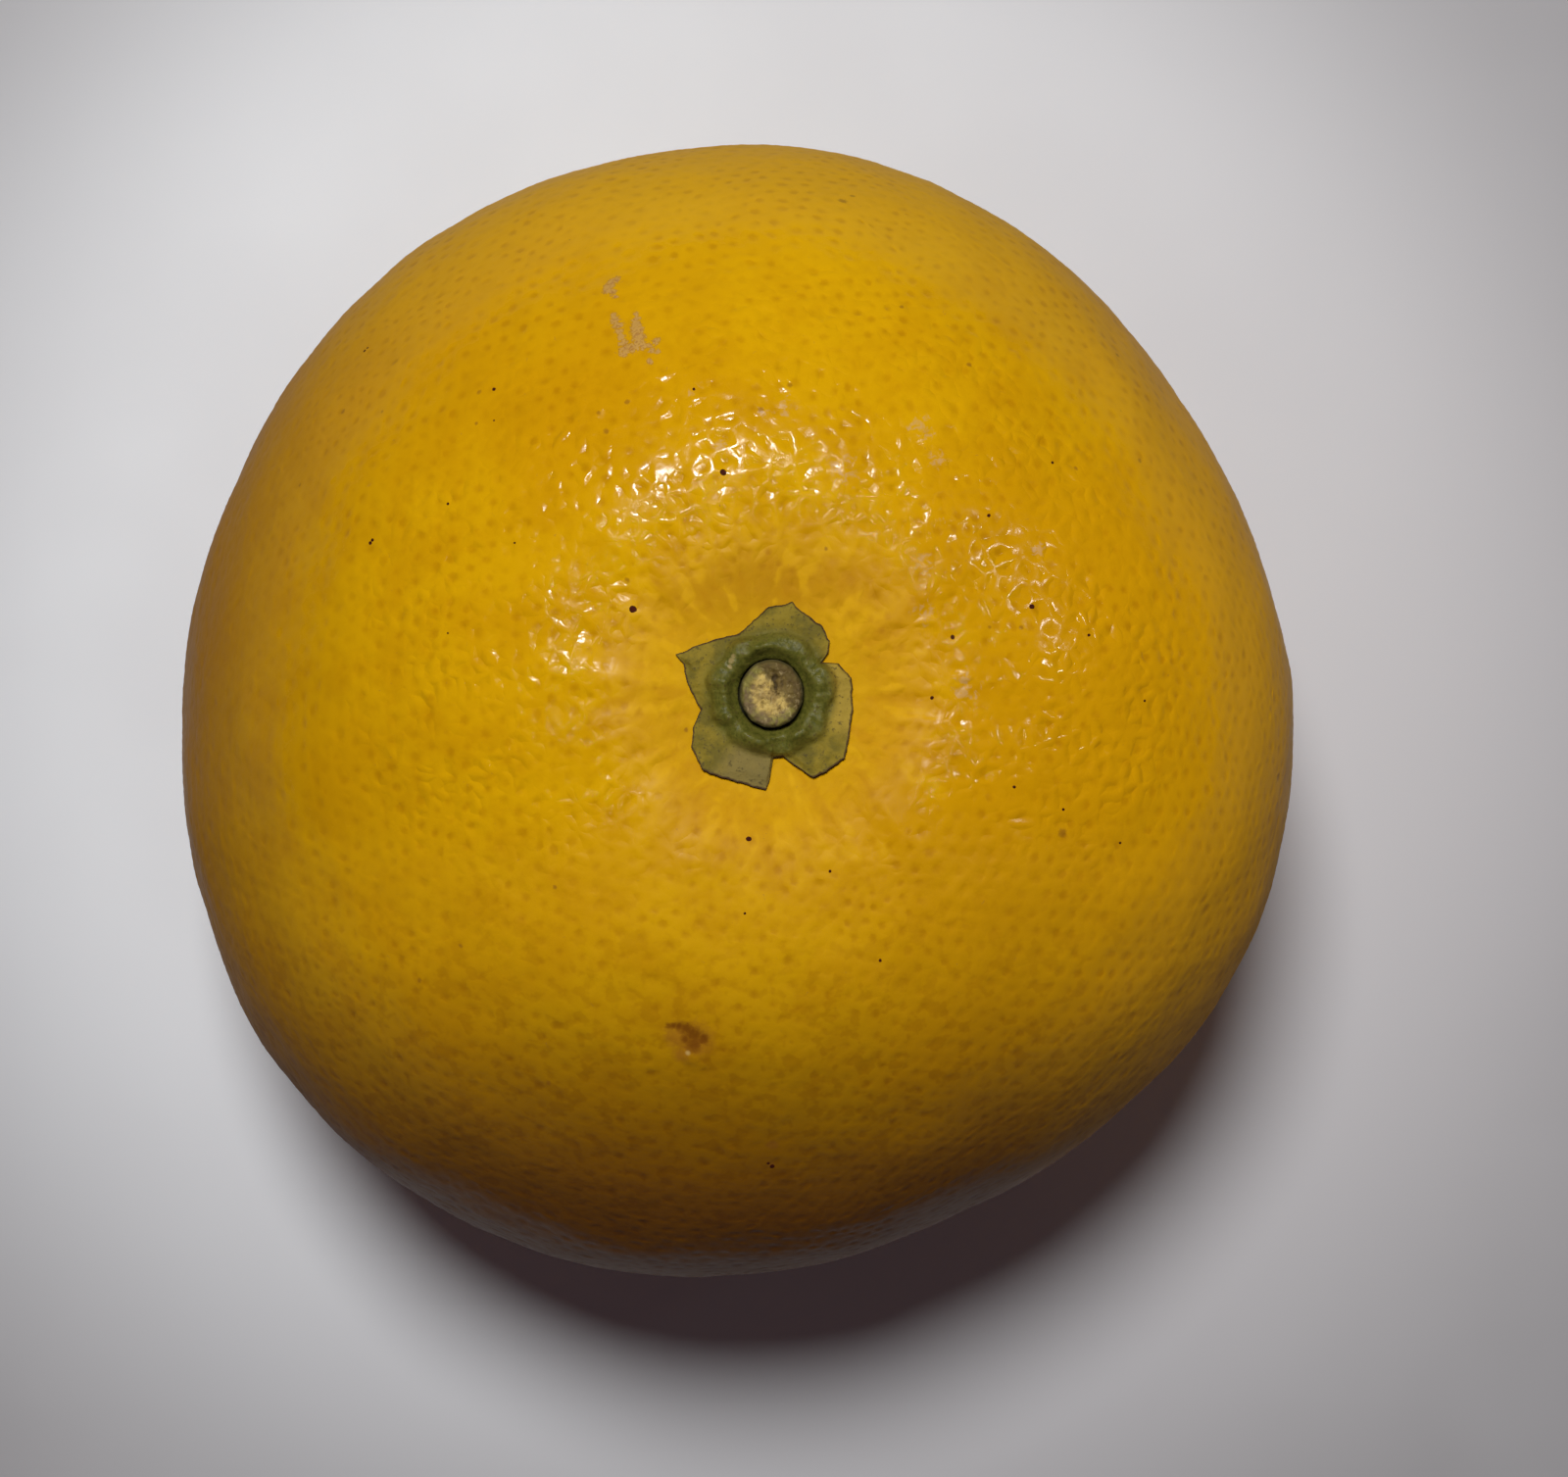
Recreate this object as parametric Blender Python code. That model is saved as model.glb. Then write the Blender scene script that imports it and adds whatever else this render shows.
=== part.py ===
# A pomelo as picked: one solid fruit that rests on a small flat spot, the green five-lobed
# calyx on its stem end, and the cut stem stub that stands in the calyx.
# Metres, +Z up along the stem axis, +Y away from the viewer, origin under the middle of the fruit.

import math
import random

import bmesh
import bpy
from mathutils import Vector, noise
from mathutils.bvhtree import BVHTree

MM = 0.001

# Fruit: driving dimensions
FRUIT_WIDTH = 120.0 * MM  # mean diameter at the widest girth
UPPER_HALF = 54.0 * MM  # widest girth up to the stem end, before the cavity is pressed in
LOWER_HALF = 51.0 * MM  # widest girth down to the blossom end, before the rest spot is cut
FULLNESS = 2.25  # 2 is an ellipsoid, more fills out the shoulders
REST_SINK = 1.3 * MM  # how much of the blossom end the flat rest spot takes off
REST_MARGIN = 5.0 * MM  # the rind is smooth up to this height, so that the spot has a clean edge
STEM_OFFSET = Vector((8.1 * MM, 3.4 * MM, 0.0))  # the stem end leans off the middle of the girth

# Waves round the girth: how many, their height as a share of the radius, and where one peaks
GIRTH_WAVES = (
    (2, 0.0109, 71.5),
    (3, 0.0164, 103.6),
    (4, 0.0066, 70.6),
    (5, 0.0046, 61.4),
    (7, 0.0020, 16.7),
)

CAVITY_DEPTH = 4.6 * MM  # stem cavity, measured at the stem axis
CAVITY_RADIUS = 16.0 * MM
CAVITY_LOBE = 0.07  # the cavity is softly five-sided, by this share of its radius
FURROW_DEPTH = 0.35 * MM  # creases that run out of the cavity like spokes
FURROW_FINENESS = 6.0  # higher gives more, narrower creases
FURROW_START = 8.5 * MM
FURROW_PEAK = 14.0 * MM
FURROW_END = 34.0 * MM
SCAR_RADIUS = 5.5 * MM  # blossom-end scar in the middle of the rest spot
SCAR_DEPTH = 0.9 * MM

LUMP_SIZE = 17.0 * MM  # slow swells of the rind
LUMP_HEIGHT = 0.45 * MM
PIT_DEPTH = 0.42 * MM  # oil gland pits, about twice as large and as far apart as on the fruit
PIT_DEPTH_SPREAD = 0.35  # how much deeper or shallower a pit may be, as a share
PIT_STRAY = 0.2  # how far a pit may stray from an even grid, as a share of the pitch
PIT_SEED = 5
POLE_COSINE = 0.9995  # nearer the two ends than this, no pit strays
SPHERE_STEPS = 4  # subdivisions of the ball that the rind is shaped from
CROWD_TOP = 0.22  # pits crowd towards the stem end by this share

# Stem stub
STUB_RADIUS = 3.1 * MM
STUB_OVAL = 1.06  # length over width, seen from above
STUB_ROOT = 3.0 * MM  # how far the stub reaches down into the fruit
STUB_TOP = 2.7 * MM  # height of its cut face over the floor of the cavity
STUB_SEGMENTS = 40
STUB_BEVEL = 0.35 * MM
STUB_HEART_RIM = 0.7 * MM  # bark and wood round the slightly sunken pith
STUB_HEART_SINK = 0.25 * MM

# Calyx
SEAT_GAP = 0.3 * MM  # between touching pieces
COLLAR_CREST = 4.45 * MM  # radius of the top of the fleshy collar round the stub
COLLAR_WIDTH = 1.1 * MM
COLLAR_HEIGHT = 1.35 * MM  # over the sepals
SEPAL_THICKNESS = 0.75 * MM
SEPAL_CURL = 0.35 * MM  # how far the sepal tips lift off the rind
CALYX_RINGS = 7
EDGE_STEP = 0.75 * MM  # longest stretch of the star's edge between two spokes

# Corners of the calyx star, going round: angle in degrees from +X, reach in millimetres
SEPAL_CORNERS = (
    ((33, 5.7), (42, 7.2), (53, 7.6), (77, 8.7), (91, 8.0)),
    ((118, 6.2), (146, 8.1), (157, 9.5), (167, 8.2)),
    ((193, 6.8), (213, 8.8), (229, 9.6), (248, 8.7), (268, 8.8)),
    ((275, 6.0), (284, 5.9), (297, 8.7), (319, 9.1)),
    ((336, 8.0), (362, 7.5), (375, 7.5), (384, 6.7)),
)

# Colours, roughness from the photo
RIND = ((0.80, 0.46, 0.015), 0.38)
CALYX_GREEN = ((0.17, 0.17, 0.03), 0.55)
STUB_WOOD = ((0.34, 0.26, 0.11), 0.75)


def smooth_step(low, high, value):
    share = min(max((value - low) / (high - low), 0.0), 1.0)
    return share * share * (3 - 2 * share)


def wave_sum(azimuth):
    return sum(
        height * math.cos(count * (azimuth - math.radians(peak)))
        for count, height, peak in GIRTH_WAVES
    )


def furrow(azimuth, from_stem):
    """Depth of the radial creases at this place round the stem."""
    spoke = Vector((math.cos(azimuth), math.sin(azimuth), 0.0)) * FURROW_FINENESS
    crease = noise.noise(spoke) + 0.5 * noise.noise(spoke * 2 + Vector((0, 0, 4.0)))
    fade = smooth_step(FURROW_START, FURROW_PEAK, from_stem)
    fade *= 1 - smooth_step(FURROW_PEAK, FURROW_END, from_stem)
    return FURROW_DEPTH * crease * fade


def skin_point(direction, sunk):
    """The point of the rind in this direction from the heart, sunk by a pit's depth."""
    azimuth = math.atan2(direction.y, direction.x)
    level = math.hypot(direction.x, direction.y)
    upper = direction.z > 0
    half_height = UPPER_HALF if upper else LOWER_HALF
    half_width = FRUIT_WIDTH / 2
    steep = abs(direction.z) * half_width / half_height
    reach = half_width * (level**FULLNESS + steep**FULLNESS) ** (-1 / FULLNESS)
    out = reach * level * (1 + wave_sum(azimuth) * level)
    height = reach * direction.z

    from_stem = out if upper else FRUIT_WIDTH
    if upper:
        rim = CAVITY_RADIUS * (1 + CAVITY_LOBE * math.cos(5 * azimuth))
        height -= CAVITY_DEPTH * math.exp(-((out / rim) ** 2))
        height += furrow(azimuth, out)

    lean = ((1 + height / half_height) / 2) ** 2 if height > -half_height else 0.0
    point = Vector((out * math.cos(azimuth), out * math.sin(azimuth), height))
    point += STEM_OFFSET * lean
    point.z += LOWER_HALF - REST_SINK
    rough = smooth_step(0.0, REST_MARGIN, point.z)
    rough *= smooth_step(FURROW_START, FURROW_PEAK, from_stem)
    swell = LUMP_HEIGHT * noise.noise(point / LUMP_SIZE)
    point += direction * (swell - sunk) * rough

    point.z = max(point.z, 0.0)
    if not upper and out < SCAR_RADIUS:
        point.z += SCAR_DEPTH * (1 - (out / SCAR_RADIUS) ** 2)
    return point


def make_material(name, colour, roughness):
    material = bpy.data.materials.new(name)
    material.use_nodes = True
    shader = material.node_tree.nodes["Principled BSDF"]
    shader.inputs["Base Color"].default_value = (*colour, 1.0)
    shader.inputs["Roughness"].default_value = roughness
    shader.inputs["Metallic"].default_value = 0.0
    return material


def new_object(name, shape, collection, finish):
    """Turns a bmesh into a named object of one collection, shaded smooth."""
    mesh = bpy.data.meshes.new(name)
    shape.to_mesh(mesh)
    shape.free()
    mesh.shade_smooth()
    obj = bpy.data.objects.new(name, mesh)
    collection.objects.link(obj)
    if finish:
        mesh.materials.append(make_material(name, *finish))
    return obj


def triple_triangles(shape):
    """Splits every triangle at its middle and turns the old edges, which keeps them even."""
    old_edges = list(shape.edges)
    bmesh.ops.poke(shape, faces=list(shape.faces))
    bmesh.ops.rotate_edges(shape, edges=old_edges)


def pitted_ball(shape):
    """An even ball of triangles. Returns, for each pit in it, the vertex and its depth."""
    draw = random.Random(PIT_SEED)
    bmesh.ops.create_icosphere(shape, subdivisions=SPHERE_STEPS, radius=1.0)
    triple_triangles(shape)
    pitch = sum(edge.calc_length() for edge in shape.edges) / len(shape.edges)
    pits = {}
    for vert in shape.verts:
        spread = draw.uniform(-PIT_DEPTH_SPREAD, PIT_DEPTH_SPREAD)
        pits[vert] = PIT_DEPTH * (1 + spread)
        stray = Vector([draw.uniform(-1, 1) for axis in range(3)])
        if abs(vert.co.normalized().z) < POLE_COSINE:
            vert.co += stray * PIT_STRAY * pitch
    triple_triangles(shape)
    return pits


def build_fruit(parts):
    """The fruit, and the floor of its stem cavity, where the stem axis meets the rind."""
    shape = bmesh.new()
    pits = pitted_ball(shape)
    stem_end = max(shape.verts, key=lambda vert: vert.co.normalized().z)
    for vert in shape.verts:
        azimuth = math.atan2(vert.co.y, vert.co.x)
        polar = math.acos(max(-1.0, min(1.0, vert.co.normalized().z)))
        polar -= CROWD_TOP * math.sin(polar)
        level = math.sin(polar)
        direction = (level * math.cos(azimuth), level * math.sin(azimuth), math.cos(polar))
        vert.co = skin_point(Vector(direction), pits.get(vert, 0.0))
    centre_on_origin(shape)
    foot = stem_end.co.copy()
    return new_object("fruit", shape, parts, RIND), foot


def centre_on_origin(shape):
    """Slides the shape along the ground until the middle of its bounds is over the origin."""
    for axis in (0, 1):
        places = [vert.co[axis] for vert in shape.verts]
        middle = (min(places) + max(places)) / 2
        for vert in shape.verts:
            vert.co[axis] -= middle


def drop_onto(tree, place):
    """Height of the rind straight under or over this place."""
    hit = tree.ray_cast(Vector((place.x, place.y, 1.0)), Vector((0, 0, -1)))[0]
    return hit.z


def star_spokes():
    """Angle and reach of each spoke: every corner of the star, and steps along its edges."""
    corners = [corner for sepal in SEPAL_CORNERS for corner in sepal]
    places = [
        Vector((math.cos(math.radians(a)), math.sin(math.radians(a)))) * reach * MM
        for a, reach in corners
    ]
    spokes = []
    for here, following in zip(places, places[1:] + places[:1]):
        steps = max(1, math.ceil((following - here).length / EDGE_STEP))
        for step in range(steps):
            place = here.lerp(following, step / steps)
            spokes.append((math.atan2(place.y, place.x), place.length))
    return spokes


def calyx_height(reach, edge_share):
    """Thickness of the calyx at this distance from the stem axis."""
    collar = COLLAR_HEIGHT * math.exp(-(((reach - COLLAR_CREST) / COLLAR_WIDTH) ** 2))
    return SEPAL_THICKNESS * (1 - 0.15 * edge_share**4) + collar


def build_calyx(parts, tree, foot):
    spokes = star_spokes()
    hole = STUB_RADIUS * STUB_OVAL + SEAT_GAP
    shape = bmesh.new()
    spoke_of = shape.verts.layers.int.new("spoke")
    made = bmesh.ops.create_circle(shape, segments=len(spokes), radius=hole)
    for index, vert in enumerate(made["verts"]):
        vert[spoke_of] = index
    rim = list(shape.edges)
    place_ring(made["verts"], spoke_of, spokes, hole, 0.0, foot)
    for ring in range(1, CALYX_RINGS + 1):
        grown = bmesh.ops.extrude_edge_only(shape, edges=rim)["geom"]
        rim = [item for item in grown if isinstance(item, bmesh.types.BMEdge)]
        rim = [edge for edge in rim if all(v in grown for v in edge.verts)]
        verts = [item for item in grown if isinstance(item, bmesh.types.BMVert)]
        place_ring(verts, spoke_of, spokes, hole, ring / CALYX_RINGS, foot)

    for vert in shape.verts:
        reach = (vert.co.to_2d() - foot.to_2d()).length
        share = (reach - hole) / (spokes[vert[spoke_of]][1] - hole)
        vert.co.z = drop_onto(tree, vert.co) + SEAT_GAP + SEPAL_CURL * share**3
    lifted = bmesh.ops.extrude_face_region(shape, geom=list(shape.faces))["geom"]
    for vert in (item for item in lifted if isinstance(item, bmesh.types.BMVert)):
        reach = (vert.co.to_2d() - foot.to_2d()).length
        share = (reach - hole) / (spokes[vert[spoke_of]][1] - hole)
        vert.co.z += calyx_height(reach, share)
    bmesh.ops.recalc_face_normals(shape, faces=list(shape.faces))
    return new_object("calyx", shape, parts, CALYX_GREEN)


def place_ring(verts, spoke_of, spokes, hole, share, foot):
    """Puts one ring of the calyx at this share of the way from its hole to its edge."""
    for vert in verts:
        angle, edge = spokes[vert[spoke_of]]
        reach = hole + (edge - hole) * share
        vert.co = foot + Vector((math.cos(angle), math.sin(angle), 0.0)) * reach


def build_stub(parts, foot):
    height = STUB_ROOT + STUB_TOP
    shape = bmesh.new()
    bmesh.ops.create_cone(
        shape,
        cap_ends=True,
        segments=STUB_SEGMENTS,
        radius1=STUB_RADIUS,
        radius2=STUB_RADIUS,
        depth=height,
    )
    top = max(shape.faces, key=lambda face: face.calc_center_median().z)
    rim = list(top.edges)
    bmesh.ops.bevel(
        shape, geom=rim, offset=STUB_BEVEL, segments=2, profile=0.5, affect="EDGES"
    )
    top = max(shape.faces, key=lambda face: face.calc_area() * (face.normal.z > 0.9))
    bmesh.ops.inset_region(
        shape, faces=[top], thickness=STUB_HEART_RIM, depth=-STUB_HEART_SINK
    )
    bmesh.ops.scale(shape, vec=(1.0, STUB_OVAL, 1.0), verts=list(shape.verts))
    middle = foot + Vector((0, 0, STUB_TOP - height / 2))
    bmesh.ops.translate(shape, vec=middle, verts=list(shape.verts))
    return new_object("stem_stub", shape, parts, STUB_WOOD)


def cut_stem_socket(fruit, foot, cutters):
    """A plain hole in the floor of the cavity, for the root of the stub."""
    depth = 2 * (STUB_ROOT + SEAT_GAP)
    shape = bmesh.new()
    bmesh.ops.create_cone(
        shape,
        cap_ends=True,
        segments=STUB_SEGMENTS,
        radius1=STUB_RADIUS + SEAT_GAP,
        radius2=STUB_RADIUS + SEAT_GAP,
        depth=depth,
    )
    bmesh.ops.scale(shape, vec=(1.0, STUB_OVAL, 1.0), verts=list(shape.verts))
    bmesh.ops.translate(shape, vec=foot, verts=list(shape.verts))
    cutter = new_object("stem_socket_cutter", shape, cutters, None)
    cutter.hide_render = True
    cutter.display_type = "WIRE"
    cut = fruit.modifiers.new("stem socket", "BOOLEAN")
    cut.operation = "DIFFERENCE"
    cut.object = cutter


def build_pomelo():
    for obj in list(bpy.data.objects):
        bpy.data.objects.remove(obj)
    parts = bpy.data.collections.new("pomelo")
    cutters = bpy.data.collections.new("cutters")
    bpy.context.scene.collection.children.link(parts)
    bpy.context.scene.collection.children.link(cutters)

    fruit, foot = build_fruit(parts)
    bpy.context.view_layer.update()
    tree = BVHTree.FromObject(fruit, bpy.context.evaluated_depsgraph_get())
    build_calyx(parts, tree, foot)
    build_stub(parts, foot)
    cut_stem_socket(fruit, foot, cutters)


build_pomelo()
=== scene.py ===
import math
import random

import bmesh
import bpy
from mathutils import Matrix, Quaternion, Vector, noise
from mathutils.bvhtree import BVHTree


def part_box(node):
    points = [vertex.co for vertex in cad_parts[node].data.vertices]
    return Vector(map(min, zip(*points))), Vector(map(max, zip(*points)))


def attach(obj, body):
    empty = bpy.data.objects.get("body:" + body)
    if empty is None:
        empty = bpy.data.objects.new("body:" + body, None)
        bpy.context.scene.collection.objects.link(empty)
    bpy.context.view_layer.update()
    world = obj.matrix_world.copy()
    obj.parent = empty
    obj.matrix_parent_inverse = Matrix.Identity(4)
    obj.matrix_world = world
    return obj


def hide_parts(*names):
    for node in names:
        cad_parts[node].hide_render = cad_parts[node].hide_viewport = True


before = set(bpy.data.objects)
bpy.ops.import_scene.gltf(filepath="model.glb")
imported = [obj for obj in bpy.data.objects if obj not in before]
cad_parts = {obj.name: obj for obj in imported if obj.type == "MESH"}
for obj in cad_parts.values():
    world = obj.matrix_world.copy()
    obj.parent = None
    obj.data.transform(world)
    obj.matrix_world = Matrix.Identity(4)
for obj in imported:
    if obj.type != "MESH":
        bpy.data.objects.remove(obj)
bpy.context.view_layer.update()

mm = 0.001

# The camera looks straight down, as the photo does. Pixels are those of the 1600 x 1507 photo.
camera = {
    "place": (5.85 * mm, -2.32 * mm, 402.0 * mm),
    "focalPixels": 3287.0,
    "imageWidth": 1600,
    "imageHeight": 1507,
    "sensor": 36.0,
    "nearest": 10 * mm,
}

# The smooth form of the fruit, the same as the solid fruit's
fruitForm = {
    "width": 120.0 * mm,
    "upperHalf": 54.0 * mm,
    "lowerHalf": 51.0 * mm,
    "fullness": 2.25,
    "restSink": 1.3 * mm,
    "restMargin": 5.0 * mm,
    "stemOffset": (8.1 * mm, 3.4 * mm),
    # waves round the girth: how many, height as a share of the radius, azimuth of a peak in degrees
    "girthWaves": (
        (2, 0.0109, 71.5), (3, 0.0164, 103.6), (4, 0.0066, 70.6), (5, 0.0046, 61.4), (7, 0.0020, 16.7),
    ),
    "cavityDepth": 4.6 * mm,
    "cavityRadius": 16.0 * mm,
    "cavityLobes": 5,
    "cavityLobe": 0.07,
    "scarRadius": 5.5 * mm,
    "scarDepth": 0.9 * mm,
}


# Shape helpers

def softStep(low, high, value):
    share = min(max((value - low) / (high - low), 0.0), 1.0)
    return share * share * (3 - 2 * share)


def band(limits, value):
    # one between the two middle limits, none beyond the outer ones
    rise, full, fade, end = limits
    return softStep(rise, full, value) * (1 - softStep(fade, end, value))


def raised(gap, reach):
    return math.exp(-((gap / reach) ** 2))


def ripple(place, height, fineness, shift=(0.0, 0.0, 0.0)):
    # a smooth random height, and another pattern of it for each shift
    return height * noise.noise(place * fineness + Vector(shift))


def aroundAxis(angle, z=0.0):
    return Vector((math.cos(angle), math.sin(angle), z))


def grownRim(shape, rim):
    # one more ring of faces along a rim: its new corners and the new rim
    grown = bmesh.ops.extrude_edge_only(shape, edges=rim)["geom"]
    corners = {item for item in grown if isinstance(item, bmesh.types.BMVert)}
    edges = (item for item in grown if isinstance(item, bmesh.types.BMEdge))
    return corners, [edge for edge in edges if corners.issuperset(edge.verts)]


def newPiece(name, shape, material, node):
    # the finished shape becomes a smooth piece, which may stand for a solid node
    mesh = bpy.data.meshes.new(name)
    shape.to_mesh(mesh)
    shape.free()
    mesh.shade_smooth()
    mesh.materials.append(material)
    piece = bpy.data.objects.new(name, mesh)
    bpy.context.scene.collection.objects.link(piece)
    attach(piece, "root")
    if node:
        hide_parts(node)
    return piece


# Material helpers

def newMaterial(name, roughness, ior=1.45, specular=0.5):
    material = bpy.data.materials.new(name)
    material.use_nodes = True
    tree = material.node_tree
    shader = tree.nodes["Principled BSDF"]
    shader.inputs["Roughness"].default_value = roughness
    shader.inputs["IOR"].default_value = ior
    shader.inputs["Specular IOR Level"].default_value = specular
    return material, tree, shader


def addNode(tree, kind, inputs=None, **settings):
    node = tree.nodes.new(kind)
    for name, value in settings.items():
        setattr(node, name, value)
    for name, value in (inputs or {}).items():
        if isinstance(value, bpy.types.NodeSocket):
            tree.links.new(value, node.inputs[name])
        else:
            node.inputs[name].default_value = value
    return node


def objectCoords(tree):
    return addNode(tree, "ShaderNodeTexCoord").outputs["Object"]


def painted(tree, name):
    # the layer of this name that the mesh carries
    return addNode(tree, "ShaderNodeAttribute", attribute_name=name).outputs["Fac"]


def mixColour(tree, factor, first, second, blend="MIX"):
    # of the node's sockets, 0 is the factor, 6 and 7 are the colours, and 2 is the result
    node = tree.nodes.new("ShaderNodeMix")
    node.data_type = "RGBA"
    node.blend_type = blend
    for place, value in ((0, factor), (6, first), (7, second)):
        if isinstance(value, bpy.types.NodeSocket):
            tree.links.new(value, node.inputs[place])
        elif place:
            node.inputs[place].default_value = (*value, 1.0)
        else:
            node.inputs[place].default_value = value
    return node.outputs[2]


def doMath(tree, operation, first, second):
    return addNode(tree, "ShaderNodeMath", {0: first, 1: second}, operation=operation).outputs["Value"]


def times(tree, first, second):
    return doMath(tree, "MULTIPLY", first, second)


def plus(tree, first, second):
    return doMath(tree, "ADD", first, second)


def greater(tree, first, second):
    return doMath(tree, "MAXIMUM", first, second)


def strayed(tree, value, pattern, spread):
    # the value, moved up and down by a noise
    return plus(tree, value, times(tree, doMath(tree, "SUBTRACT", pattern, 0.5), spread))


def ramp(tree, value, low, high, bottom=0.0, top=1.0):
    node = addNode(
        tree,
        "ShaderNodeMapRange",
        {"Value": value, "From Min": low, "From Max": high, "To Min": bottom, "To Max": top},
        interpolation_type="SMOOTHSTEP",
    )
    return node.outputs["Result"]


def tintMask(tree, driver, tint):
    low, high, share = tint[:3]
    return ramp(tree, driver, low, high, 0.0, share)


def tinted(tree, colour, driver, tint):
    # a tint is where it starts, where it's full, its greatest share and its colour
    return mixColour(tree, tintMask(tree, driver, tint), colour, tint[3])


def speckle(tree, coords, size, detail=3.0, rough=0.55, distortion=0.0):
    # noise whose features are about this size, in metres
    node = addNode(
        tree,
        "ShaderNodeTexNoise",
        {"Vector": coords, "Scale": 1 / size, "Detail": detail, "Roughness": rough, "Distortion": distortion},
    )
    return node.outputs["Fac"]


def gapTo(tree, coords, place):
    return addNode(tree, "ShaderNodeVectorMath", {0: coords, 1: place}, operation="DISTANCE").outputs["Value"]


def spotMask(tree, coords, spots):
    # one at the middle of each spot, falling to none at twice its size
    mask = None
    for place, size in spots:
        near = ramp(tree, gapTo(tree, coords, place), 2 * size, 0.0)
        mask = near if mask is None else greater(tree, mask, near)
    return mask


def bumped(tree, height, depth, strength, under=None, inward=False):
    # the normal of a relief of this depth, over the normal under it
    inputs = {"Strength": strength, "Distance": depth, "Height": height}
    if under is not None:
        inputs["Normal"] = under
    return addNode(tree, "ShaderNodeBump", inputs, invert=inward).outputs["Normal"]


# Camera
def makeCamera():
    lens = bpy.data.cameras.new("camera")
    lens.sensor_width = camera["sensor"]
    lens.lens = camera["sensor"] * camera["focalPixels"] / camera["imageWidth"]
    lens.clip_start = camera["nearest"]
    eye = bpy.data.objects.new("camera", lens)
    eye.location = camera["place"]
    bpy.context.scene.collection.objects.link(eye)
    bpy.context.scene.camera = eye


def pixelOnto(tree, pixel):
    # the place on the fruit that shows at this pixel, and its normal
    across = (pixel[0] - camera["imageWidth"] / 2) / camera["focalPixels"]
    down = (pixel[1] - camera["imageHeight"] / 2) / camera["focalPixels"]
    place, normal = tree.ray_cast(Vector(camera["place"]), Vector((across, -down, -1.0)))[:2]
    return place, normal


makeCamera()
print("camera placed")

# Peel
peel = {
    "ballSteps": 6,  # every corner of the ball becomes an oil gland pit
    "poleCosine": 0.9999,
    "crowdTop": 0.12,
    "stray": 0.30,  # how far a pit strays, as a share of the pitch
    "warp": 0.020,
    "warpFineness": 5,
    "seed": 23,
    "pitDepth": 0.085 * mm,
    "pitSpread": 0.40,
    "midDepth": 0.42,  # depth halfway out to the rim of a pit, as a share
    "lumpSize": 17.0 * mm,
    "lumpHeight": 0.45 * mm,
    "ripples": ((7.0 * mm, 0.20 * mm), (2.9 * mm, 0.05 * mm)),
    "rippleShift": (3.1, 7.7, 1.3),
    "furrowFineness": 6.0,
    "furrowDepth": 0.20 * mm,
    "furrowBand": (8.5 * mm, 14.0 * mm, 14.0 * mm, 34.0 * mm),  # by distance from the stem
    "creaseOctave": (0.5, 2, (0, 0, 4.0)),
    "streakFineness": 19.0,
    "streakDepth": 0.11 * mm,
    "streakLength": 9.0 * mm,
    "streakBand": (5.0 * mm, 9.0 * mm, 15.0 * mm, 24.0 * mm),
    "axisShare": 0.9999,
}

# Painted layers of the peel, which its material reads
peelLayers = {
    "names": ("gland", "nearStem", "streak", "underside", "paleBloomAndHighlight"),
    "glandMiddle": 0.80,
    "glandAround": 0.12,
    "glandCalm": 0.25,  # share of a gland's dot that stays where the peel is smooth
    "stemReach": 15.0 * mm,
    "streakFineness": 11,
    "streakOctave": (0.6, 2.1),
    "streakLength": 40.0 * mm,
    "streakBand": (5.0 * mm, 9.0 * mm, 13.0 * mm, 26.0 * mm),
    "scarReach": 9.0 * mm,
}

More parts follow.
